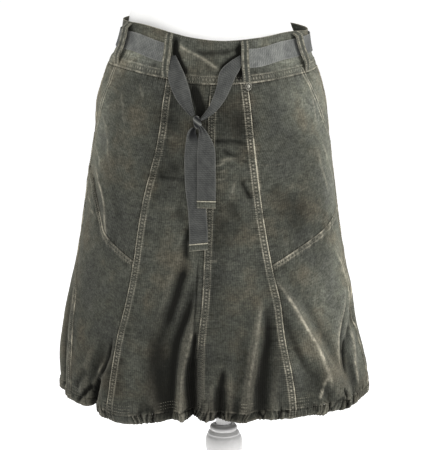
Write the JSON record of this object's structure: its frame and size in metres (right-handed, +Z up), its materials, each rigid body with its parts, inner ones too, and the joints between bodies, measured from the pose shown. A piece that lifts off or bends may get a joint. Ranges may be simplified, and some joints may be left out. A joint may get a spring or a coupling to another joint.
{
  "type": "corduroy balloon skirt on a dress form",
  "caption": "Gored corduroy skirt with a gathered balloon hem and a tied tape belt, displayed on a plain limbless dress form with a turned pole and a round base.",
  "frame": {"origin": "middle of the base's underside", "axes": "+Z up, the skirt's front faces -Y"},
  "size_m": [0.4936, 0.333, 1.4983],
  "materials": {
    "corduroy": "garment-washed fine-wale cotton corduroy, grey-green",
    "twill_tape": "woven cotton twill tape, mid grey",
    "stud_metal": "antiqued pressed metal",
    "form_cover": "smooth matt white",
    "painted_wood": "turned wood, satin white paint"
  },
  "bodies": {
    "root": {"form_torso": "form_cover", "form_neck_cap": "painted_wood", "form_pole": "painted_wood", "form_base": "painted_wood", "front_gore_left": "corduroy", "front_gore_right": "corduroy", "hip_panel_left": "corduroy", "hip_panel_right": "corduroy", "side_gore_left": "corduroy", "side_gore_right": "corduroy", "back_side_right": "corduroy", "back_gore_right": "corduroy", "back_gore_left": "corduroy", "back_side_left": "corduroy", "pocket_facing_left": "corduroy", "pocket_facing_right": "corduroy", "waistband_front": "corduroy", "waistband_back": "corduroy", "hem_casing_front": "corduroy", "hem_casing_back": "corduroy", "belt_left": "twill_tape", "belt_right": "twill_tape", "belt_back": "twill_tape", "strand_left": "twill_tape", "strand_right": "twill_tape", "tail_long": "twill_tape", "tail_short": "twill_tape", "tip_long": "corduroy", "tip_short": "corduroy", "knot": "twill_tape", "hip_stud": "stud_metal", "loop_front_left": "corduroy", "loop_front_right": "corduroy", "loop_side_left": "corduroy", "loop_side_right": "corduroy", "loop_back_left": "corduroy", "loop_back_right": "corduroy"}
  },
  "joints": []
}
